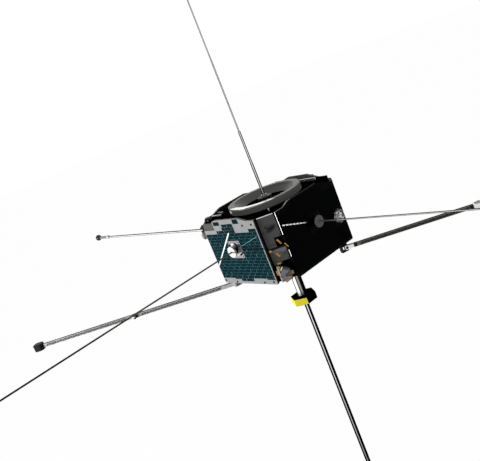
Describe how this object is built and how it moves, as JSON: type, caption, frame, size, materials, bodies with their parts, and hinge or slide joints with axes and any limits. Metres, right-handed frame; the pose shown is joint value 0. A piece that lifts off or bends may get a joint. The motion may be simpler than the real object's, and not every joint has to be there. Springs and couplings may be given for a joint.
{
  "type": "spin-stabilised science satellite",
  "caption": "Boxy science satellite with solar panels on its sides, a round separation ring, long rod booms ending in spheres and hinged lattice booms that carry field sensors.",
  "frame": {"origin": "centre of the separation ring's mating face, on the spin axis", "axes": "+Z along the spin axis out of the mating face, -Y out of the front solar panel, +X out of the right one"},
  "size_m": [5.936, 3.8443, 3.95],
  "materials": {
    "solar_cells": "glossy cells over a pale panel",
    "dark_deck": "matt black thermal paint",
    "grey_plate": "satin grey paint",
    "lavender_grey": "satin pale grey paint",
    "gold_plate": "gold plated",
    "foil": "crinkled foil",
    "ring_metal": "machined",
    "polished_metal": "polished",
    "bare_metal": "satin",
    "lattice_grey": "satin ribs",
    "black_end": "matt",
    "white_paint": "satin",
    "red_paint": "satin",
    "yellow_black": "satin, black top",
    "dark_sphere": "glossy",
    "dark_tube": "satin dark grey"
  },
  "bodies": {
    "bus": {"top_deck": "dark_deck", "bottom_deck": "dark_deck", "equipment_block": "dark_deck", "corner_closeouts": "dark_deck", "solar_panel_front": "solar_cells", "solar_panel_right": "solar_cells", "solar_panel_back": "solar_cells", "solar_panel_left": "solar_cells", "notch_plate": "lavender_grey", "corner_plates": "grey_plate", "near_corner_upper_plate": "grey_plate", "near_corner_lower_plate": "grey_plate", "near_corner_box": "lavender_grey", "gold_brackets": "gold_plate", "particle_sensor_head": "black_end", "particle_sensor_foot": "lavender_grey", "deck_rails": "bare_metal", "foil_dome": "foil", "separation_ring": "ring_metal", "upper_boom_base": "bare_metal", "upper_boom": "polished_metal", "mast_tube": "polished_metal", "mast_head": "yellow_black", "lower_boom": "dark_tube", "boom_units": "polished_metal", "boom_discs": "white_paint", "radial_rods": "polished_metal", "rod_collars": "white_paint", "rod_sleeves": "bare_metal", "rod_spheres": "dark_sphere", "left_boom_hinge_bracket": "lavender_grey", "right_boom_hinge_bracket": "lavender_grey", "left_boom_hinge_pin": "bare_metal", "right_boom_hinge_pin": "bare_metal"},
    "left_boom_near": {"left_boom_root": "white_paint", "left_boom_inner": "lattice_grey", "left_boom_elbow_inner": "black_end", "left_boom_elbow_pin": "bare_metal"},
    "left_boom_far": {"left_boom_elbow_outer": "white_paint", "left_boom_outer": "lattice_grey", "left_boom_sensor": "black_end"},
    "right_boom": {"right_boom_root": "white_paint", "right_boom_lattice": "lattice_grey", "right_boom_fork": "white_paint", "right_boom_sensor": "white_paint"}
  },
  "joints": [
    {"name": "left_boom_root_hinge", "type": "hinge", "parent": "bus", "child": "left_boom_near", "pos_m": [-0.26978, -0.34051, -0.549], "axis": [0, 0, 1], "range_deg": [0, 139]},
    {"name": "left_boom_elbow_hinge", "type": "hinge", "parent": "left_boom_near", "child": "left_boom_far", "pos_m": [-0.88592, -0.91057, -0.549], "axis": [0, 0, 1], "range_deg": [0, 170]},
    {"name": "right_boom_root_hinge", "type": "hinge", "parent": "bus", "child": "right_boom", "pos_m": [0.37475, 0.21976, -0.549], "axis": [0, 0, 1], "range_deg": [0, 139]}
  ]
}
